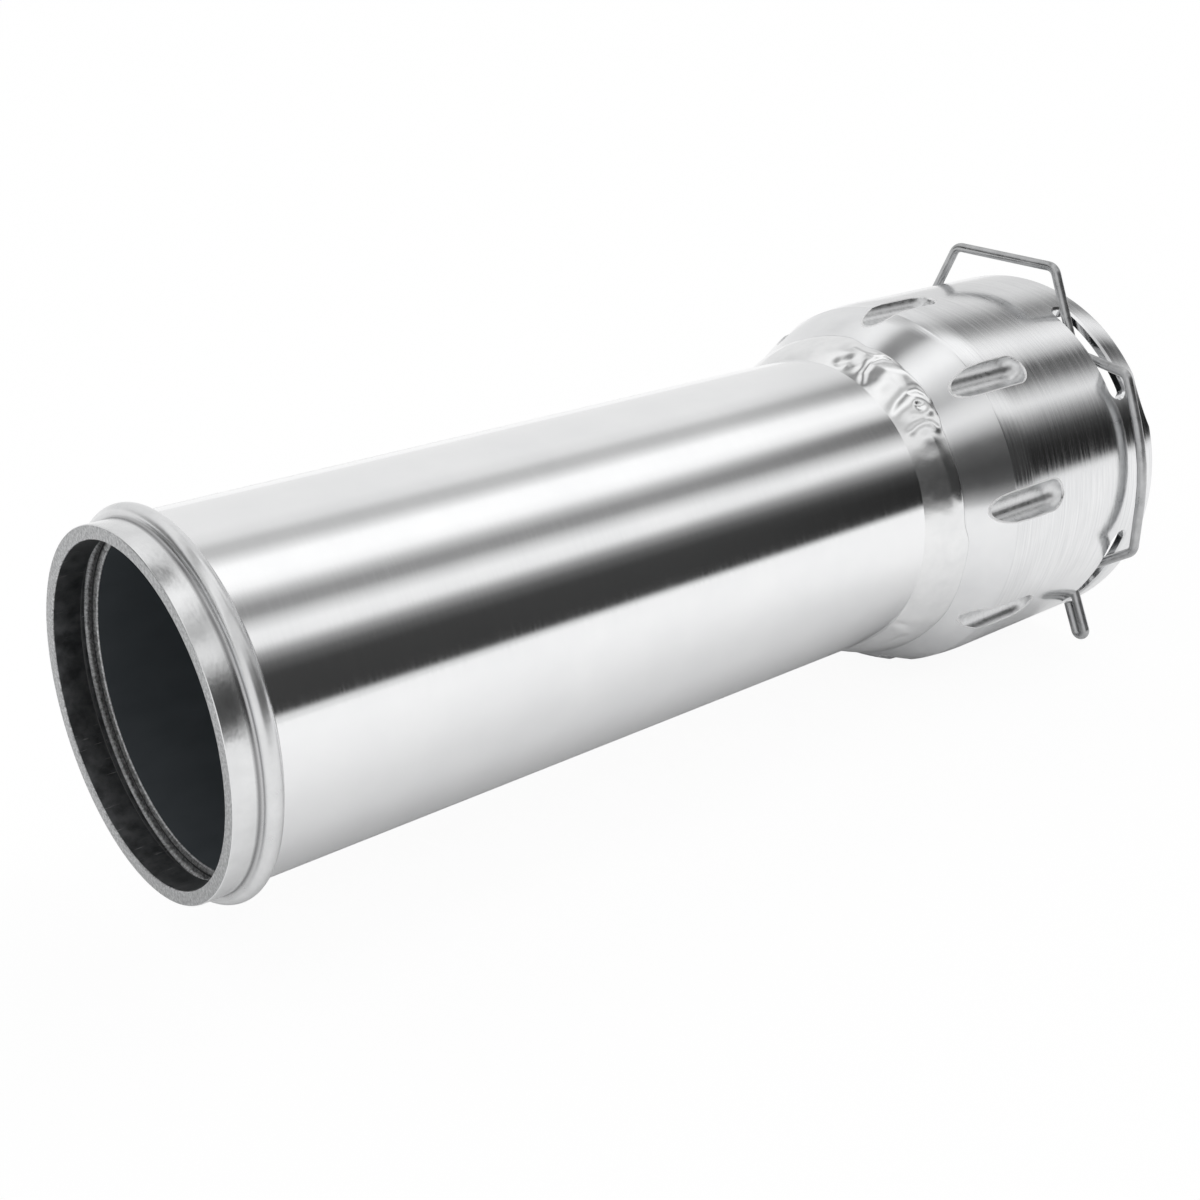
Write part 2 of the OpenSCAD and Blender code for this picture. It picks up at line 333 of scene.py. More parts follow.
# the same for the part of the tent that the collar mirrors
farStrips = [
    (-180, 215), (-150, 215), (-100, 225), (-60, 236), (-20, 236), (-4, 226), (1, 205), (3.5, 50),
    (9, 40), (20, 42), (29, 66), (33, 100), (39, 150), (49, 238), (56, 200), (64, 110), (74, 82),
    (82, 205), (91, 244), (99, 232), (108, 160), (116, 128), (122, 150), (130, 195), (139, 214),
    (157, 212), (180, 215),
]
# and for the part that the shoulder, the weld and the bead mirror
nearStrips = [
    (-180, 225), (-100, 225), (-60, 230), (-21, 236), (-8, 212), (0, 196), (5, 140), (10, 84),
    (20, 70), (28, 84), (34, 100), (41, 195), (48, 238), (55, 222), (62, 182), (69, 200),
    (76, 232), (82, 253), (89, 250), (95, 226), (101, 136), (109, 138), (115, 228), (121, 246),
    (133, 230), (145, 218), (180, 222),
]


def tentValue(nodes, links, across, height, lean, strips):
    angle = mathNode(nodes, links, "ARCTAN2", height, across)
    angle = mathNode(nodes, links, "SUBTRACT", angle, lean)
    place = mapRange(nodes, links, angle, -math.pi, math.pi, 0.0, 1.0)
    stops = [((degrees + 180) / 360, (grey / 255) ** studio["gamma"]) for degrees, grey in strips]
    return rampNode(nodes, links, place, stops)


def mixColours(nodes, links, share, first, second):
    blend = nodes.new("ShaderNodeMix")
    blend.data_type = "RGBA"
    links.new(share, blend.inputs["Factor"])
    links.new(first, blend.inputs[6])
    links.new(second, blend.inputs[7])
    return blend.outputs[2]


def makeTent():
    world = bpy.data.worlds.new("lightTent")
    bpy.context.scene.world = world
    world.use_nodes = True
    nodes = world.node_tree.nodes
    links = world.node_tree.links
    nodes.clear()
    coords = nodes.new("ShaderNodeTexCoord")
    split = nodes.new("ShaderNodeSeparateXYZ")
    links.new(coords.outputs["Generated"], split.inputs[0])
    x, y, z = split.outputs["X"], split.outputs["Y"], split.outputs["Z"]
    nearSide = mathNode(nodes, links, "MULTIPLY", y, -1.0)
    along = mapRange(nodes, links, x, *studio["leanRange"], *studio["leanRange"])
    lean = mathNode(nodes, links, "SUBTRACT", studio["leanFrom"], along)
    lean = mathNode(nodes, links, "MULTIPLY", lean, studio["lean"])
    front = tentValue(nodes, links, nearSide, z, lean, tentStrips)
    frontFar = tentValue(nodes, links, nearSide, z, 0.0, farStrips)
    back = tentValue(nodes, links, y, z, 0.0, tentStrips)
    frontNear = tentValue(nodes, links, nearSide, z, 0.0, nearStrips)
    near = mapRange(nodes, links, x, *studio["nearRange"], 0.0, 1.0)
    far = mapRange(nodes, links, x, *studio["farRange"], 0.0, 1.0)
    side = mapRange(nodes, links, x, *studio["backRange"], 0.0, 1.0)
    front = mixColours(nodes, links, near, frontNear, front)
    front = mixColours(nodes, links, far, front, frontFar)
    tent = nodes.new("ShaderNodeBackground")
    tent.inputs["Strength"].default_value = studio["tentStrength"]
    links.new(mixColours(nodes, links, side, back, front), tent.inputs["Color"])
    white = nodes.new("ShaderNodeBackground")
    white.inputs["Color"].default_value = (1, 1, 1, 1)
    white.inputs["Strength"].default_value = 1.0
    rays = nodes.new("ShaderNodeLightPath")
    chosen = nodes.new("ShaderNodeMixShader")
    links.new(rays.outputs["Is Camera Ray"], chosen.inputs["Fac"])
    links.new(tent.outputs[0], chosen.inputs[1])
    links.new(white.outputs[0], chosen.inputs[2])
    output = nodes.new("ShaderNodeOutputWorld")
    links.new(chosen.outputs[0], output.inputs["Surface"])


def makeFloor():
    # white to the camera and to reflections, but darker in those where the part stands over it: painted
    # shade, as ambient occlusion takes away the glow there
    deselectAll()
    bpy.ops.mesh.primitive_plane_add(size=studio["floorSize"],
                                     location=(0, 0, cadBounds[0][2] - studio["floorGap"]))
    floor = bpy.context.object
    floor.name = "studioFloor"
    bpy.ops.object.transform_apply(location=True, rotation=True, scale=True)
    material = bpy.data.materials.new("floorPaper")
    material.use_nodes = True
    nodes = material.node_tree.nodes
    links = material.node_tree.links
    nodes.clear()
    paper = nodes.new("ShaderNodeBsdfDiffuse")
    paper.inputs["Color"].default_value = (studio["paper"], studio["paper"], studio["paper"], 1)
    glow = nodes.new("ShaderNodeEmission")
    glow.inputs["Color"].default_value = (1, 1, 1, 1)
    glow.inputs["Strength"].default_value = studio["cameraGlow"]
    rays = nodes.new("ShaderNodeLightPath")
    seen = mathNode(nodes, links, "MULTIPLY", rays.outputs["Is Camera Ray"], studio["cameraWhite"])
    mirrored = mathNode(nodes, links, "ADD", rays.outputs["Is Glossy Ray"],
                        rays.outputs["Is Transmission Ray"])
    mirrored = mathNode(nodes, links, "MULTIPLY", mirrored, studio["mirrorWhite"])
    # ambient occlusion dims the glow seen in reflections under the part: painted shade
    shade = nodes.new("ShaderNodeAmbientOcclusion")
    shade.samples = studio["shadeSamples"]
    shade.inputs["Distance"].default_value = studio["mirrorShade"]
    clear = mathNode(nodes, links, "POWER", shade.outputs["AO"], studio["shadePower"])
    mirrored = mathNode(nodes, links, "MULTIPLY", mirrored, clear)
    share = mathNode(nodes, links, "MAXIMUM", seen, mirrored)
    mix = nodes.new("ShaderNodeMixShader")
    links.new(share, mix.inputs["Fac"])
    links.new(paper.outputs[0], mix.inputs[1])
    links.new(glow.outputs[0], mix.inputs[2])
    output = nodes.new("ShaderNodeOutputMaterial")
    links.new(mix.outputs[0], output.inputs["Surface"])
    floor.data.materials.append(material)


makeTent()
makeFloor()
bpy.context.scene.view_settings.view_transform = "Standard"
print("studio made")


# finishes
def grainFinish(name, metallic, grain, shades, roughness, bump=None, bumpGrain=None):
    # one noise gives the colour and the roughness; bump is a strength and a depth in metres, of
    # the same noise or of one of its own
    material, nodes, links, shader = newMaterial(name)
    shader.inputs["Metallic"].default_value = metallic
    shade = noiseNode(nodes, links, *grain)
    links.new(rampNode(nodes, links, shade, shades), shader.inputs["Base Color"])
    rough = mapRange(nodes, links, shade, 0.3, 0.7, *roughness)
    links.new(rough, shader.inputs["Roughness"])
    if bump:
        height = noiseNode(nodes, links, *bumpGrain) if bumpGrain else shade
        links.new(bumpNode(nodes, links, height, *bump), shader.inputs["Normal"])
    return material


def polishedTube():
    # bright polished aluminium with faint turning streaks
    material, nodes, links, shader = newMaterial("polishedAluminium")
    shader.inputs["Metallic"].default_value = 1.0
    cloud = noiseNode(nodes, links, (60, 60, 60), 4, 0.55)
    colour = rampNode(nodes, links, cloud, [(0.3, (0.885, 0.89, 0.897)),
                                            (0.7, (0.925, 0.928, 0.932))])
    links.new(colour, shader.inputs["Base Color"])
    streak = noiseNode(nodes, links, (2600, 90, 90), 2, 0.5)
    rough = mapRange(nodes, links, streak, 0.3, 0.7, 0.075, 0.125)
    links.new(rough, shader.inputs["Roughness"])
    normal = bumpNode(nodes, links, streak, 0.012, 0.0004)
    wave = noiseNode(nodes, links, (22, 34, 34), 2, 0.5, (3, 1, 7))
    normal = bumpNode(nodes, links, wave, 0.03, 0.0008, normal)
    links.new(normal, shader.inputs["Normal"])
    return material


# the bright line round each pocket, a painted highlight: from its cutter's axis, in mm, and how it
# looks
edgeHighlight = {"full": 4.33, "none": 4.5, "colour": (0.96, 0.96, 0.962, 1.0), "rough": 0.5,
            "metallic": 0.35}


def paintEdgeHighlight(nodes, links, shader, colour, rough):
    # a narrow bright line round each milled pocket, where the edge was broken by hand: a painted
    # highlight, on a rougher, less metallic finish
    s = pocketSizes
    apart = math.radians(360 / s["count"])
    x, y, z = objectPlace(nodes, links)
    turn = mathNode(nodes, links, "ARCTAN2", y, z)
    whole = mathNode(nodes, links, "DIVIDE", turn, apart)
    whole = mathNode(nodes, links, "ROUND", whole)
    whole = mathNode(nodes, links, "MULTIPLY", whole, apart)
    turn = mathNode(nodes, links, "SUBTRACT", turn, whole)
    radius = rootOfSquares(nodes, links, y, z)
    side = mathNode(nodes, links, "MULTIPLY", radius, mathNode(nodes, links, "SINE", turn))
    up = mathNode(nodes, links, "MULTIPLY", radius, mathNode(nodes, links, "COSINE", turn))
    up = mathNode(nodes, links, "SUBTRACT", up, s["axis"] * mm)
    held = mathNode(nodes, links, "MAXIMUM", x, s["startCentre"] * mm)
    held = mathNode(nodes, links, "MINIMUM", held, s["endCentre"] * mm)
    along = mathNode(nodes, links, "SUBTRACT", x, held)
    away = rootOfSquares(nodes, links, side, up, along)
    line = mapRange(nodes, links, away, edgeHighlight["full"] * mm, edgeHighlight["none"] * mm, 1.0, 0.0)
    bright = nodes.new("ShaderNodeRGB")
    bright.outputs[0].default_value = edgeHighlight["colour"]
    mixed = mixColours(nodes, links, line, colour, bright.outputs[0])
    links.new(mixed, shader.inputs["Base Color"])
    dull = mathNode(nodes, links, "MULTIPLY", line, edgeHighlight["rough"])
    links.new(mathNode(nodes, links, "MAXIMUM", rough, dull), shader.inputs["Roughness"])
    metallic = mapRange(nodes, links, line, 0.0, 1.0, 1.0, edgeHighlight["metallic"])
    links.new(metallic, shader.inputs["Metallic"])


def turnedCollar():
    # the collar is turned: fine rings round the axis blur and break the reflections
    material, nodes, links, shader = newMaterial("turnedAluminium")
    rings = noiseNode(nodes, links, (1500, 45, 45), 4, 0.65)
    cloud = noiseNode(nodes, links, (45, 45, 45), 4, 0.55, (2, 5, 1))
    shade = mathNode(nodes, links, "ADD", mathNode(nodes, links, "MULTIPLY", rings, 0.6),
                     mathNode(nodes, links, "MULTIPLY", cloud, 0.4))
    colour = rampNode(nodes, links, shade, [(0.36, (0.75, 0.755, 0.765)),
                                            (0.62, (0.90, 0.905, 0.91))])
    rough = mapRange(nodes, links, rings, 0.3, 0.7, 0.09, 0.2)
    # a painted highlight round each pocket's edge
    paintEdgeHighlight(nodes, links, shader, colour, rough)
    normal = bumpNode(nodes, links, rings, 0.036, 0.0004)
    links.new(normal, shader.inputs["Normal"])
    return material


def satinShoulder():
    # the collar's shoulder is blasted smooth before welding: satin, with hardly any rings
    material, nodes, links, shader = newMaterial("satinAluminium")
    cloud = noiseNode(nodes, links, (90, 90, 90), 4, 0.55, (1, 4, 4))
    colour = rampNode(nodes, links, cloud, [(0.3, (0.80, 0.805, 0.815)),
                                            (0.7, (0.87, 0.875, 0.88))])
    rough = mapRange(nodes, links, cloud, 0.3, 0.7, 0.12, 0.17)
    # a painted highlight round each pocket's edge
    paintEdgeHighlight(nodes, links, shader, colour, rough)
    rings = noiseNode(nodes, links, (2400, 80, 80), 2, 0.5)
    normal = bumpNode(nodes, links, rings, 0.02, 0.0004)
    links.new(normal, shader.inputs["Normal"])
    return material


def millPocket():
    # left by a ball ended cutter: duller, with chatter across the cut
    return grainFinish("milledAluminium", 1.0, ((900, 700, 700), 4, 0.65, (5, 5, 5)),
                       [(0.3, (0.66, 0.665, 0.67)), (0.7, (0.84, 0.845, 0.85))],
                       (0.27, 0.4), (0.014, 0.0004))


def brokenEdgeHighlight():
    # edges broken by hand: rough, and coloured bright as a painted highlight, so they look lit all
    # round
    return grainFinish("brokenEdgeHighlight", 0.35, ((900, 900, 900), 3, 0.6, (8, 1, 5)),
                       [(0.3, (0.9, 0.902, 0.905)), (0.7, (0.97, 0.97, 0.97))], (0.4, 0.6))


def weldSkin():
    # the weld cools to a smooth, slightly wrinkled skin
    return grainFinish("weldSkin", 1.0, ((160, 160, 160), 4, 0.6, (4, 4, 9)),
                       [(0.32, (0.82, 0.825, 0.83)), (0.65, (0.90, 0.903, 0.905))],
                       (0.1, 0.2), (0.03, 0.0006), ((420, 420, 420), 3, 0.55, (1, 8, 3)))


def weldCreaseShade():
    # the thin dark line where the weld runs out on the collar: painted shade in the crease
    return grainFinish("weldCreaseShade", 0.6, ((500, 500, 500), 3, 0.6, (2, 7, 5)),
                       [(0.35, (0.09, 0.09, 0.093)), (0.6, (0.3, 0.303, 0.307))], (0.4, 0.6))


def rawShadedBore():
    # the inside of the tube is left raw and dull, and coloured dark as painted shade
    return grainFinish("rawShadedBore", 0.3, ((90, 200, 200), 4, 0.6, (7, 2, 2)),
                       [(0.2, (0.078, 0.09, 0.1)), (0.8, (0.098, 0.112, 0.124))],
                       (0.55, 0.7), (0.05, 0.0005))


def cutRim():
    # sawn and deburred end of the tube, granular and dull
    return grainFinish("cutRim", 1.0, ((1500, 1500, 1500), 4, 0.7, (1, 1, 1)),
                       [(0.32, (0.26, 0.265, 0.27)), (0.68, (0.72, 0.725, 0.73))],
                       (0.34, 0.6), (0.35, 0.0004))


def grooveFlank():
    # the rolled groove's far side, granular and lighter than the land
    return grainFinish("grooveFlank", 0.9, ((1400, 1400, 1400), 4, 0.7, (5, 2, 2)),
                       [(0.34, (0.26, 0.263, 0.267)), (0.66, (0.8, 0.805, 0.81))],
                       (0.35, 0.55), (0.2, 0.0004))


def springWire():
    # drawn stainless wire, satin, with faint draw marks and darker patches
    return grainFinish("springWire", 1.0, ((260, 260, 260), 4, 0.6, (3, 3, 3)),
                       [(0.3, (0.4, 0.405, 0.41)), (0.7, (0.6, 0.605, 0.61))],
                       (0.24, 0.38), (0.08, 0.0003), ((4200, 500, 500), 2, 0.6))


def sealRubber():
    return grainFinish("sealRubber", 0.0, ((700, 700, 700), 4, 0.6),
                       [(0.3, (0.014, 0.014, 0.015)), (0.7, (0.03, 0.03, 0.031))],
                       (0.45, 0.62), (0.12, 0.0002))


def ringMask(nodes, links, station, halfWidth):
    # 1 on a narrow ring round the X axis at one station, in mm, fading to 0 beside it
    x = objectPlace(nodes, links)[0]
    away = mathNode(nodes, links, "SUBTRACT", x, station * mm)
    away = mathNode(nodes, links, "ABSOLUTE", away)
    return mapRange(nodes, links, away, 0.15 * halfWidth * mm, halfWidth * mm, 1.0, 0.0)


# painted shade in the creases before and behind the bead, and the bead's duller middle: station and
# half width in mm
beadRings = {"before": (5.45, 0.75), "behind": (10.5, 0.5), "middle": (7.95, 5.5),
             "behindShare": 0.35, "creaseShadeShare": 0.72, "creaseShade": (0.12, 0.12, 0.125, 1)}


def spunBead():
    # the rolled bead and the lip: softer than the tube, hammered, with painted shade in the crease
    material, nodes, links, shader = newMaterial("spunAluminium")
    shader.inputs["Metallic"].default_value = 1.0
    cloud = noiseNode(nodes, links, (170, 170, 170), 4, 0.6, (6, 2, 8))
    colour = rampNode(nodes, links, cloud, [(0.3, (0.76, 0.765, 0.77)), (0.7, (0.86, 0.865, 0.87))])
    # darker rings in the creases before and behind the bead: painted shade
    before = ringMask(nodes, links, *beadRings["before"])
    behind = ringMask(nodes, links, *beadRings["behind"])
    behind = mathNode(nodes, links, "MULTIPLY", behind, beadRings["behindShare"])
    shadedCrease = mathNode(nodes, links, "MAXIMUM", before, behind)
    shadedCrease = mathNode(nodes, links, "MULTIPLY", shadedCrease, beadRings["creaseShadeShare"])
    creaseShade = nodes.new("ShaderNodeMix")
    creaseShade.data_type = "RGBA"
    creaseShade.inputs[7].default_value = beadRings["creaseShade"]
    links.new(shadedCrease, creaseShade.inputs["Factor"])
    links.new(colour, creaseShade.inputs[6])
    links.new(creaseShade.outputs[2], shader.inputs["Base Color"])
    middle = ringMask(nodes, links, *beadRings["middle"])
    middle = mathNode(nodes, links, "POWER", middle, 0.5)
    worn = mapRange(nodes, links, cloud, 0.3, 0.7, -0.03, 0.03)
    rough = mapRange(nodes, links, middle, 0.4, 0.9, 0.17, 0.3)
    rough = mathNode(nodes, links, "ADD", rough, worn)
    links.new(rough, shader.inputs["Roughness"])
    dents = noiseNode(nodes, links, (420, 260, 260), 2, 0.5, (2, 9, 4))
    links.new(bumpNode(nodes, links, dents, 0.1, 0.0006), shader.inputs["Normal"])
    return material


def shadedLipInside():
    # the land inside the lip: raw, coloured dark as painted shade, with a few bright scratches
    material, nodes, links, shader = newMaterial("shadedLipInside")
    shader.inputs["Metallic"].default_value = 0.8
    cloud = noiseNode(nodes, links, (300, 300, 300), 4, 0.65, (4, 6, 1))
    colour = rampNode(nodes, links, cloud, [(0.3, (0.1, 0.103, 0.107)), (0.68, (0.22, 0.224, 0.23))])
    scratch = noiseNode(nodes, links, (160, 2200, 2200), 3, 0.6, (2, 3, 8))
    marks = rampNode(nodes, links, scratch, [(0.66, 0.0), (0.74, 0.35)])
    added = nodes.new("ShaderNodeMix")
    added.data_type = "RGBA"
    added.blend_type = "ADD"
    added.inputs["Factor"].default_value = 1.0
    links.new(colour, added.inputs[6])
    links.new(marks, added.inputs[7])
    links.new(added.outputs[2], shader.inputs["Base Color"])
    rough = mapRange(nodes, links, cloud, 0.3, 0.7, 0.28, 0.45)
    links.new(rough, shader.inputs["Roughness"])
    links.new(bumpNode(nodes, links, scratch, 0.08, 0.0003), shader.inputs["Normal"])
    return material


# tube with its rolled hose bead
tubeSizes = {
    "outer": 38.1, "bore": 35.1, "length": 198.0,
    "lip": 5.3, "beadAt": 7.948, "crestCentre": 38.75, "crestRadius": 1.9,
    "toeCentre": 38.85, "toeRadius": 0.75, "beadEnd": 10.596,
    "grooveCentre": 36.6, "grooveRadius": 1.3, "grooveFlare": 0.5,
    "innerRound": 0.4, "rimRound": 0.3, "boreRound": 0.35, "steps": 360, "smooth": 35,
    "rimFaces": 0.02, "rimBreak": 0.4, "flankFrom": 0.2, "landTop": 37.95, "lipFaceTop": 37.4,
}


def makeTube():
    s = tubeSizes
    lean = math.degrees(math.atan2(s["toeCentre"] - s["crestCentre"], s["beadAt"] - s["lip"]))
    outline = arcPoints(s["rimRound"], s["outer"] - s["rimRound"], s["rimRound"], 180, 90, 4)
    outline += arcPoints(s["lip"], s["toeCentre"], s["toeRadius"], -90, -lean, 6)
    outline += arcPoints(s["beadAt"], s["crestCentre"], s["crestRadius"], 180 - lean, lean, 28)[1:-1]
    outline += arcPoints(s["beadEnd"], s["toeCentre"], s["toeRadius"], 180 + lean, 270, 6)
    outline += roundCorners([
        (s["length"], s["outer"], 0),
        (s["length"], s["bore"], 0),
        (s["beadAt"] + s["grooveRadius"] + s["grooveFlare"], s["bore"], s["innerRound"]),
        (s["beadAt"] + s["grooveRadius"], s["bore"] + 2 * s["grooveFlare"], s["innerRound"]),
        (s["beadAt"] + s["grooveRadius"], s["grooveCentre"], 0),
    ])
    outline += arcPoints(s["beadAt"], s["grooveCentre"], s["grooveRadius"], 0, 180, 16)[1:]
    front = roundCorners([
        (s["beadAt"] - s["grooveRadius"], s["grooveCentre"], 0),
        (s["beadAt"] - s["grooveRadius"], s["bore"] + 2 * s["grooveFlare"], s["innerRound"]),
        (s["beadAt"] - s["grooveRadius"] - s["grooveFlare"], s["bore"], s["innerRound"]),
        (0.2, s["bore"], 0),
    ])
    outline += front[1:-1]
    outline += arcPoints(s["boreRound"], s["bore"] + s["boreRound"], s["boreRound"], 270, 180, 4)
    tube = turnOutline("hoseTube", outline, s["steps"])
    smoothByAngle(tube, s["smooth"])
    finish = dress(tube, {"tube": polishedTube, "bore": rawShadedBore, "rim": cutRim, "land": shadedLipInside,
                          "bead": spunBead, "flank": grooveFlank})
    for face in tube.data.polygons:
        x = face.center.x / mm
        r = math.hypot(face.center.y, face.center.z) / mm
        inward = face.normal.y * face.center.y + face.normal.z * face.center.z < 0
        if x < s["rimFaces"]:
            face.material_index = finish["rim"]
        elif x < s["rimBreak"] and r < s["bore"] + s["rimBreak"]:
            face.material_index = finish["flank"]
        elif inward and s["beadAt"] + s["flankFrom"] < x < s["beadEnd"] and r < s["landTop"]:
            face.material_index = finish["flank"]
        elif r < s["bore"] + s["rimFaces"] and x > s["beadAt"]:
            face.material_index = finish["bore"]
        elif x < s["beadEnd"] and r < s["landTop"] and (inward or r < s["lipFaceTop"]):
            face.material_index = finish["land"]
        elif x < s["beadEnd"] + s["rimBreak"]:
            face.material_index = finish["bead"]
    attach(tube, "root")
    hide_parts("tube")


makeTube()
print("tube made")


# collar: quick release socket
collarSizes = {
    "front": 192.0, "lap": 38.2, "nose": 38.8, "bevelEnd": 201.0, "bevelRadius": 42.1,
    "steepEnd": 208.5, "steepRadius": 46.3, "edge": 213.2, "edgeRadius": 48.15,
    "shoulder": 219.0, "outer": 48.7, "end": 272.2, "endFace": 0.35, "endBreak": 0.8,
    "mouth": 46.5, "mouthChamfer": 0.8, "mouthStep": 264.9, "stepSlope": 0.6, "slotRelief": 45.9,
    "reliefStart": 254.2, "reliefSlope": 1.9, "bore": 44.0,
    "groove": 45.9, "grooveFrom": 243.4, "grooveTo": 246.8,
    "stop": 234.6, "throat": 40.0, "throatStart": 224.6, "flareStart": 202.6,
    "tubeBore": 35.1, "tubeEnd": 198.0,
    "steps": 360, "longest": 4.0, "smooth": 14, "satinFrom": 42.0,
}
# milled pockets; the edge cutter breaks their edges, and the last lines tell their faces
pocketSizes = {
    "count": 9, "radius": 4.05, "axis": 49.25, "endCentre": 227.45, "startCentre": 203.5,
    "edgeRadius": 7.27, "edgeAxis": 54.41,
    "match": 0.08, "lastFace": 232, "lowest": 44.8,
    "edgeReach": 0.9, "edgeLowest": 46.8, "edgeFirst": 201.0, "edgeLast": 233, "edgeTurn": 12,
    "edgeArea": 4e-6,
}
slotSizes = {
    "middle": 262.3, "half": 2.95, "sweep": 14.53, "angles": [50, 130, 210, -30],
    "low": 41.5, "high": 51.5, "edge": 0.55, "edgeUnder": 0.4, "edgeOver": 0.6, "bends": 9,
}
scallopSizes = {"radius": 20.97, "axis": 291.37, "depth": 14, "middle": 47, "angles": [29, 151]}


def makePocketCutter(radius, axis):
    # a ball pulled out along the collar
    s = pocketSizes
    deselectAll()
    bpy.ops.mesh.primitive_uv_sphere_add(segments=64, ring_count=32, radius=radius * mm,
                                         location=(s["endCentre"] * mm, 0, axis * mm),
                                         rotation=(0, math.pi / 2, 0))
    cutter = bpy.context.object
    bpy.ops.object.transform_apply(location=True, rotation=True, scale=True)
    pullApart(cutter, ((s["startCentre"] - s["endCentre"]) * mm, 0, 0),
              lambda place: place.x < (s["endCentre"] - 0.01) * mm)
    return turnedCopies(cutter, [90 + 360 / s["count"] * i for i in range(s["count"])])


def makeSlotCutter(lowRadius, highRadius, low, high):
    # a short cone is pulled apart into a long hole with round ends, then bent round the collar
    s = slotSizes
    deselectAll()
    bpy.ops.mesh.primitive_cone_add(vertices=64, radius1=lowRadius * mm, radius2=highRadius * mm,
                                    depth=(high - low) * mm,
                                    location=(s["middle"] * mm, 0, (low + high) / 2 * mm),
                                    rotation=(0, 0, math.pi / 64))
    cutter = bpy.context.object
    bpy.ops.object.transform_apply(location=True, rotation=True, scale=True)
    reach = math.radians(s["sweep"]) * collarSizes["outer"] * mm
    pullApart(cutter, (0, reach, 0), lambda place: place.y > 0)
    pullApart(cutter, (0, -reach, 0), lambda place: place.y < 0)
    bpy.ops.object.mode_set(mode="EDIT")
    for k in range(-s["bends"], s["bends"] + 1):
        bpy.ops.mesh.select_all(action="SELECT")
        bpy.ops.mesh.bisect(plane_co=(0, k / (s["bends"] + 0.5) * reach, 0), plane_no=(0, 1, 0))
    bpy.ops.object.mode_set(mode="OBJECT")
    for vertex in cutter.data.vertices:
        angle = vertex.co.y / (collarSizes["outer"] * mm)
        radius = vertex.co.z
        vertex.co.y = radius * math.sin(angle)
        vertex.co.z = radius * math.cos(angle)
    return turnedCopies(cutter, s["angles"])


def makeScallopCutter():
    s = scallopSizes
    deselectAll()
    bpy.ops.mesh.primitive_cylinder_add(vertices=256, radius=s["radius"] * mm, depth=s["depth"] * mm,
                                        location=(s["axis"] * mm, 0, s["middle"] * mm))
    cutter = bpy.context.object
    bpy.ops.object.transform_apply(location=True, rotation=True, scale=True)
    return turnedCopies(cutter, s["angles"])


def radialTurn(face):
    # how far a face turns away from facing straight out round the axis, in degrees
    out = Vector((0, face.center.y, face.center.z)).normalized()
    side = Vector((0, face.normal.y, face.normal.z))
    if side.length < 0.3:
        return 90.0
    lean = abs(math.degrees(math.atan2(face.normal.x, side.length)))
    return max(math.degrees(side.normalized().angle(out)), lean - 25)


def collarOutline():
    s = collarSizes
    corners = roundCorners([
        (s["front"], s["lap"], 0),
        (s["front"], s["nose"], 0),
        (s["bevelEnd"], s["bevelRadius"], 0),
        (s["steepEnd"], s["steepRadius"], 40.0),
        (s["edge"], s["edgeRadius"], 1.0),
        (s["shoulder"], s["outer"], 50.0),
        (s["end"] - s["endFace"], s["outer"], 0.5),
        (s["end"], s["outer"] - s["endBreak"], 0.5),
        (s["end"], s["mouth"] + s["mouthChamfer"], 0.25),
        (s["end"] - s["mouthChamfer"], s["mouth"], 0.3),
        (s["mouthStep"], s["mouth"], 0.15),
        (s["mouthStep"] - s["stepSlope"], s["slotRelief"], 0.15),
        (s["reliefStart"], s["slotRelief"], 0.4),
        (s["reliefStart"] - s["reliefSlope"], s["bore"], 0.4),
        (s["grooveTo"], s["bore"], 0.2),
        (s["grooveTo"], s["groove"], 0.3),
        (s["grooveFrom"], s["groove"], 0.3),
        (s["grooveFrom"], s["bore"], 0.2),
        (s["stop"], s["bore"], 0.4),
        (s["stop"], s["throat"], 0.4),
        (s["throatStart"], s["throat"], 1.5),
        (s["flareStart"], s["tubeBore"], 1.5),
        (s["tubeEnd"], s["tubeBore"], 0),
        (s["tubeEnd"], s["lap"], 0),
    ])
    return splitLong(corners, s["longest"])


def fromPocketAxis(centre, radius):
    # a place's distance in mm from the axis of the nearest pocket's cutter
    p = pocketSizes
    apart = 360 / p["count"]
    angle = math.degrees(math.atan2(centre.z, -centre.y)) - 90
    away = math.radians(angle - apart * round(angle / apart))
    distance = math.hypot(radius * math.sin(away), radius * math.cos(away) - p["axis"])
    if centre.x > p["endCentre"]:
        distance = math.hypot(distance, centre.x - p["endCentre"])
    return distance


def makeCollar():
    s = collarSizes
    p = pocketSizes
    slot = slotSizes
    collar = turnOutline("socketCollar", collarOutline(), s["steps"])
    edgeLow = s["outer"] - slot["edge"] - slot["edgeUnder"]
    cutAway(collar, [
        makePocketCutter(p["radius"], p["axis"]),
        makeSlotCutter(slot["half"], slot["half"], slot["low"], slot["high"]),
        makeScallopCutter(),
        makePocketCutter(p["edgeRadius"], p["edgeAxis"]),
        makeSlotCutter(slot["half"] - slot["edgeUnder"], slot["half"] + slot["edge"] + slot["edgeOver"],
                       edgeLow, s["outer"] + slot["edgeOver"]),
    ])
    smoothByAngle(collar, s["smooth"])
    finish = dress(collar, {"turned": turnedCollar, "pocket": millPocket, "satin": satinShoulder,
                            "edge": brokenEdgeHighlight})
    for face in collar.data.polygons:
        centre = face.center / mm
        radius = math.hypot(centre.y, centre.z)
        past = fromPocketAxis(centre, radius) - p["radius"]
        if abs(past) < p["match"] and centre.x < p["lastFace"] and radius > p["lowest"]:
            face.material_index = finish["pocket"]
        elif (0 < past < p["edgeReach"] and radius > p["edgeLowest"]
              and p["edgeFirst"] < centre.x < p["edgeLast"]
              and radialTurn(face) > p["edgeTurn"] and face.area < p["edgeArea"]):
            face.material_index = finish["edge"]
        elif centre.x < s["edge"] and radius > s["satinFrom"]:
            face.material_index = finish["satin"]
    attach(collar, "root")
    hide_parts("collar")


makeCollar()
print("collar made")


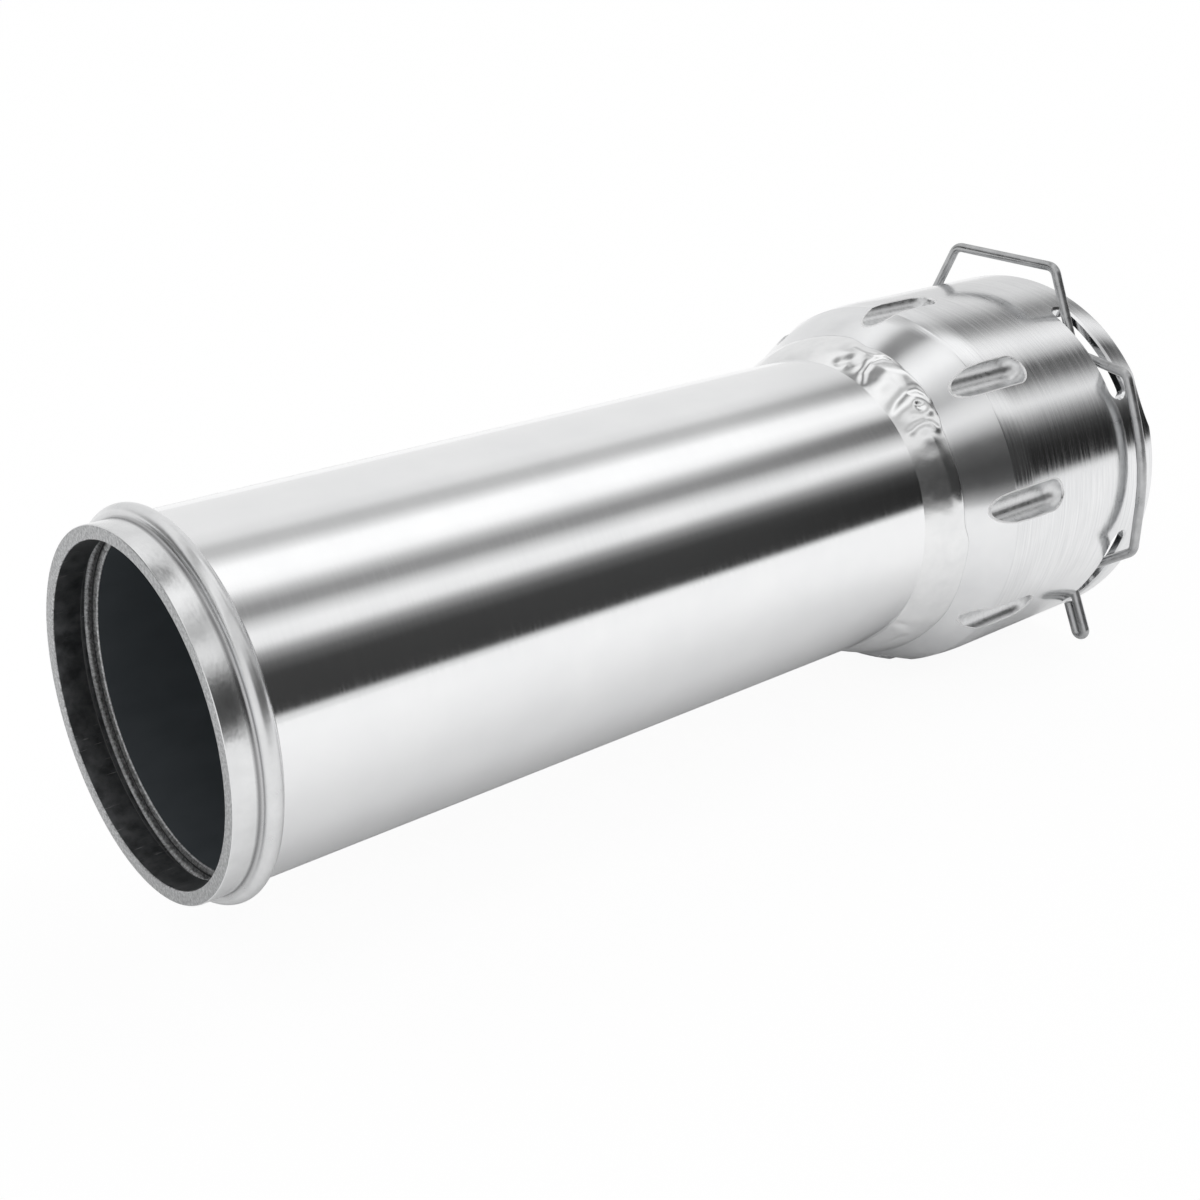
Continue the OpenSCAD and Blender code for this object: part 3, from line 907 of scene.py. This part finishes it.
# fillet weld between tube and collar
weldSizes = {
    "toe": (189.9, 38.05), "end": (201.6, 42.55), "bulge": 0.75,
    "behindEnd": [(0.22, -0.1), (0.25, -0.45), (-0.6, -0.75)], "root": [(192.1, 38.7), (192.1, 38.05)],
    "rings": 26, "steps": 900, "smooth": 60, "lumps": 0.12, "lumpSize": 0.0055,
    "rootTop": 38.09, "under": 0.02, "underFrom": 195, "underLift": 0.45, "edgeLift": 0.42,
    "toeFade": 0.12, "endFade": 0.06, "farShare": 0.6, "farFrom": 60, "middleRadius": 41.0,
    "creaseBack": 0.02, "creaseTurn": 0.2,
}
# the weld's wavy end on the collar: angle and station, in degrees and mm
weldEdge = [
    (-180, 201.6), (-150, 202.2), (-120, 201.4), (-90, 202.0), (-58, 201.9), (-41, 202.0),
    (-29, 202.4), (-20, 202.1), (-10, 201.7), (-1, 201.7), (8, 200.3), (32, 200.0), (39, 200.1),
    (46, 201.0),
    (52, 201.6), (65, 201.6), (73, 201.6), (78, 201.3), (82, 200.8), (91, 201.8), (110, 201.0),
    (135, 201.9), (160, 201.2), (180, 201.6),
]
# start and stop marks: height, reach, and the line that each follows by station and angle
weldMarks = [
    (-0.30, 0.95, [(190.6, 69.3), (193.1, 72.7), (196.4, 74.4), (199.8, 73.5), (201.6, 70.4),
                   (202.2, 66.3)]),
    (0.30, 2.6, [(193.5, 65.0), (197.0, 67.5), (200.0, 64.0)]),
    (-0.26, 1.15, [(190.7, 53.2), (193.4, 55.6), (196.6, 57.2), (199.7, 56.6), (201.2, 53.5),
                   (201.3, 46.7)]),
    (0.42, 2.2, [(194.0, 51.5), (197.5, 52.5), (199.6, 49.5)]),
    (-0.5, 0.9, [(197.3, 50.9), (197.8, 50.2)]),
    (0.14, 1.0, [(194.7, 48.2), (197.0, 47.2), (199.9, 47.0)]),
    (0.2, 1.0, [(192.3, 43.2), (194.0, 44.2), (196.3, 44.4), (197.8, 43.2), (198.8, 41.0)]),
    (0.14, 1.6, [(195.4, 38.9), (196.4, 38.2)]),
    (-0.42, 1.9, [(192.6, 83.2), (194.4, 80.8), (193.4, 77.4)]),
    (0.16, 0.9, [(198.6, 84.5), (198.4, 79.0), (199.0, 76.5)]),
    (-0.25, 1.5, [(196.3, 97.0), (197.2, 93.5)]),
    (0.25, 1.6, [(192.5, -39.0), (195.5, -41.5)]),
    (-0.2, 0.9, [(191.3, -36.0), (194.6, -36.5), (196.4, -40.4), (195.1, -47.6)]),
]


def weldMarkHeight(x, angle):
    # how far the marks lift or sink the skin at one place
    height = 0.0
    around = math.radians(weldSizes["middleRadius"])
    for lift, reach, line in weldMarks:
        if min(abs(angle - point[1]) for point in line) * around > 4 * reach + 4:
            continue
        nearest = 1e9
        for i in range(len(line) - 1):
            ax, ay = line[i][0], line[i][1] * around
            bx, by = line[i + 1][0] - ax, line[i + 1][1] * around - ay
            px, py = x - ax, angle * around - ay
            part = min(1.0, max(0.0, (px * bx + py * by) / (bx * bx + by * by)))
            nearest = min(nearest, math.hypot(px - part * bx, py - part * by))
        height += lift * math.exp(-(nearest / reach) ** 2)
    return height


def weldEdgeAt(angle):
    # the weld's end at one angle, eased from point to point
    for i in range(len(weldEdge) - 1):
        if weldEdge[i][0] <= angle <= weldEdge[i + 1][0]:
            part = (angle - weldEdge[i][0]) / (weldEdge[i + 1][0] - weldEdge[i][0])
            part = part * part * (3 - 2 * part)
            return weldEdge[i][1] + (weldEdge[i + 1][1] - weldEdge[i][1]) * part
    return weldEdge[0][1]


def shapeWeld(weld, toe, end):
    # moves the spun skin to the wavy end and the marks; the group says how free each vertex is
    s = weldSizes
    group = weld.vertex_groups.new(name="skin")
    for vertex in weld.data.vertices:
        x = vertex.co.x / mm
        r = math.hypot(vertex.co.y, vertex.co.z) / mm
        if r < s["rootTop"]:
            continue
        angle = math.degrees(math.atan2(vertex.co.z, -vertex.co.y))
        part = min(1.0, max(0.0, (x - toe.x) / (end.x - toe.x)))
        shift = weldEdgeAt(angle) - end.x
        if r < toe.lerp(end, part).y - s["under"] and part < 1.0:
            if x < s["underFrom"]:
                shift = 0.0
            lift = s["underLift"] * shift
        else:
            shift *= part * part
            opposite = angle - 180 if angle > s["farFrom"] else angle + 180
            free = min(1.0, part / s["toeFade"]) * min(1.0, (1 - part) / s["endFade"])
            marks = weldMarkHeight(x + shift, angle)
            marks += s["farShare"] * weldMarkHeight(x + shift, opposite)
            lift = s["edgeLift"] * shift + free * marks
            group.add([vertex.index], free, "REPLACE")
        vertex.co.x += shift * mm
        vertex.co.y *= (r + lift) / r
        vertex.co.z *= (r + lift) / r


def makeWeld():
    s = weldSizes
    toe, end = Vector(s["toe"]), Vector(s["end"])
    outline = []
    for k in range(s["rings"] + 1):
        part = k / s["rings"]
        outline.append(toe.lerp(end, part) + Vector((0, 4 * s["bulge"] * part * (1 - part))))
    outline += [end + Vector(step) for step in s["behindEnd"]]
    outline += [Vector(corner) for corner in s["root"]]
    weld = turnOutline("filletWeld", outline, s["steps"])
    shapeWeld(weld, toe, end)
    texture = bpy.data.textures.new("weldLumps", "CLOUDS")
    texture.noise_scale = s["lumpSize"]
    texture.noise_depth = 1
    lumps = weld.modifiers.new("lumps", "DISPLACE")
    lumps.texture = texture
    lumps.texture_coords = "LOCAL"
    lumps.strength = s["lumps"] * mm
    lumps.mid_level = 0.5
    lumps.vertex_group = "skin"
    makeActive(weld)
    bpy.ops.object.modifier_apply(modifier=lumps.name)
    smoothByAngle(weld, s["smooth"])
    finish = dress(weld, {"skin": weldSkin, "shadedCrease": weldCreaseShade})
    # the faces at the weld's end that face along the axis take the painted crease shade
    for face in weld.data.polygons:
        angle = math.degrees(math.atan2(face.center.z, -face.center.y))
        pastEnd = face.center.x / mm > weldEdgeAt(angle) - s["creaseBack"]
        if pastEnd and face.normal.x > s["creaseTurn"]:
            face.material_index = finish["shadedCrease"]
    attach(weld, "root")
    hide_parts("weld_bead")


makeWeld()
print("weld made")


# spring clip: one wire bent in one plane; corners are (across, up) with the bend's radius, from
# the pull loop down, and the side bow's corner is worked out
clipSizes = {
    "plane": 262.3, "wire": 1.25, "facets": 24, "bendStep": 6, "smooth": 40,
    "corners": [
        ((16.3, 55.8), 3.0), ((25.697, 34.726), 3.0), ((42.286, 32.447), 3.0),
        ((52.06, -14.34), 3.0), ((33.713, -26.530), 2.5),
    ],
    "bowRadius": 60.0, "bowGap": 1.5, "bowReach": 1.34,
    "foldAngle": -64.0, "foldReach": 56.5, "foldRadius": 1.45, "freeEnd": 49.2,
    "endBreak": 0.35, "endSteps": ((0.2, 0.93), (0.15, 0.8)),
}


def clipPath():
    s = clipSizes
    corners = [(Vector(place), radius) for place, radius in s["corners"]]
    bowUpper, bowLower = corners[2][0], corners[3][0]
    chord = (bowLower - bowUpper).normalized()
    outward = Vector((-chord.y, chord.x))
    bulge = collarSizes["outer"] + s["bowGap"] + s["wire"] - bowUpper.dot(outward)
    bow = (bowUpper + bowLower) / 2 + outward * bulge * s["bowReach"]
    corners.insert(3, (bow, s["bowRadius"]))
    foldAngle = math.radians(s["foldAngle"])
    down = Vector((math.cos(foldAngle), math.sin(foldAngle)))
    side = Vector((down.y, -down.x))
    last = corners[-1][0]
    first = last + down * (s["foldReach"] - last.dot(down))
    second = first + side * 2 * s["foldRadius"]
    along = math.sqrt(s["freeEnd"] ** 2 - second.dot(side) ** 2)
    free = second + down * (along - second.dot(down))
    corners += [(first, s["foldRadius"]), (second, s["foldRadius"]), (free, 0.0)]
    return corners


def drawWire(move):
    # extrudes the selected end by a step (across, up) in mm
    bpy.ops.mesh.extrude_region_move(TRANSFORM_OT_translate={"value": (0, -move.x * mm, move.y * mm)})


def selectedCentre(piece):
    bpy.ops.object.mode_set(mode="OBJECT")
    chosen = [v.co.copy() for v in piece.data.vertices if v.select]
    bpy.ops.object.mode_set(mode="EDIT")
    return sum(chosen, Vector()) / len(chosen)


def makeClip():
    s = clipSizes
    corners = clipPath()
    here = Vector((0.0, corners[0][0].y))
    deselectAll()
    bpy.ops.mesh.primitive_circle_add(vertices=s["facets"], radius=s["wire"] * mm, fill_type="NOTHING",
                                      location=(s["plane"] * mm, 0, here.y * mm),
                                      rotation=(math.pi / 2, 0, 0))
    clip = bpy.context.object
    clip.name = "springClip"
    bpy.ops.object.transform_apply(location=True, rotation=True, scale=True)
    bpy.ops.object.mode_set(mode="EDIT")
    bpy.ops.mesh.select_all(action="SELECT")
    for i, (corner, radius) in enumerate(corners):
        heading = (corner - here).normalized()
        if radius == 0:
            drawWire(corner - here - heading * s["endBreak"])
            for step, shrink in s["endSteps"]:
                drawWire(heading * step)
                bpy.ops.transform.resize(value=(shrink, shrink, shrink),
                                         center_override=selectedCentre(clip))
            bpy.ops.mesh.edge_face_add()
            continue
        leaving = (corners[i + 1][0] - corner).normalized()
        turn = math.atan2(heading.x * leaving.y - heading.y * leaving.x, heading.dot(leaving))
        leg = radius * math.tan(abs(turn) / 2)
        bendStart = corner - heading * leg
        if (bendStart - here).length > 0.01:
            drawWire(bendStart - here)
        turnSide = 1 if turn > 0 else -1
        centre = bendStart + Vector((-heading.y, heading.x)) * radius * turnSide
        bpy.ops.mesh.spin(steps=max(4, math.ceil(abs(math.degrees(turn)) / s["bendStep"])),
                          angle=abs(turn), axis=(turnSide, 0, 0),
                          center=(s["plane"] * mm, -centre.x * mm, centre.y * mm))
        here = corner + leaving * leg
    bpy.ops.mesh.select_all(action="SELECT")
    bpy.ops.mesh.remove_doubles(threshold=1e-6)
    bpy.ops.object.mode_set(mode="OBJECT")
    mirror = clip.modifiers.new("otherSide", "MIRROR")
    mirror.use_axis = (False, True, False)
    mirror.use_mirror_merge = True
    mirror.merge_threshold = 1e-5
    bpy.ops.object.modifier_apply(modifier=mirror.name)
    bpy.ops.object.mode_set(mode="EDIT")
    bpy.ops.mesh.select_all(action="SELECT")
    bpy.ops.mesh.normals_make_consistent(inside=False)
    bpy.ops.object.mode_set(mode="OBJECT")
    smoothByAngle(clip, s["smooth"])
    dress(clip, {"wire": springWire})
    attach(clip, "root")
    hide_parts("spring_clip")


makeClip()
print("clip made")


# seal ring in its groove, with the moulding's parting line
sealSizes = {"station": 245.1, "centre": 44.55, "radius": 1.3, "flash": 0.05, "facets": 32,
             "steps": 240, "smooth": 40}


def makeSeal():
    s = sealSizes
    outline = []
    for k in range(s["facets"]):
        angle = 2 * math.pi * k / s["facets"]
        radius = s["radius"] - (s["flash"] if k % (s["facets"] // 2) else 0.0)
        outline.append(Vector((s["station"] + radius * math.sin(angle),
                               s["centre"] + radius * math.cos(angle))))
    seal = turnOutline("sealRing", outline, s["steps"])
    smoothByAngle(seal, s["smooth"])
    dress(seal, {"rubber": sealRubber})
    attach(seal, "root")
    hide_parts("seal_ring")


makeSeal()
print("seal made")
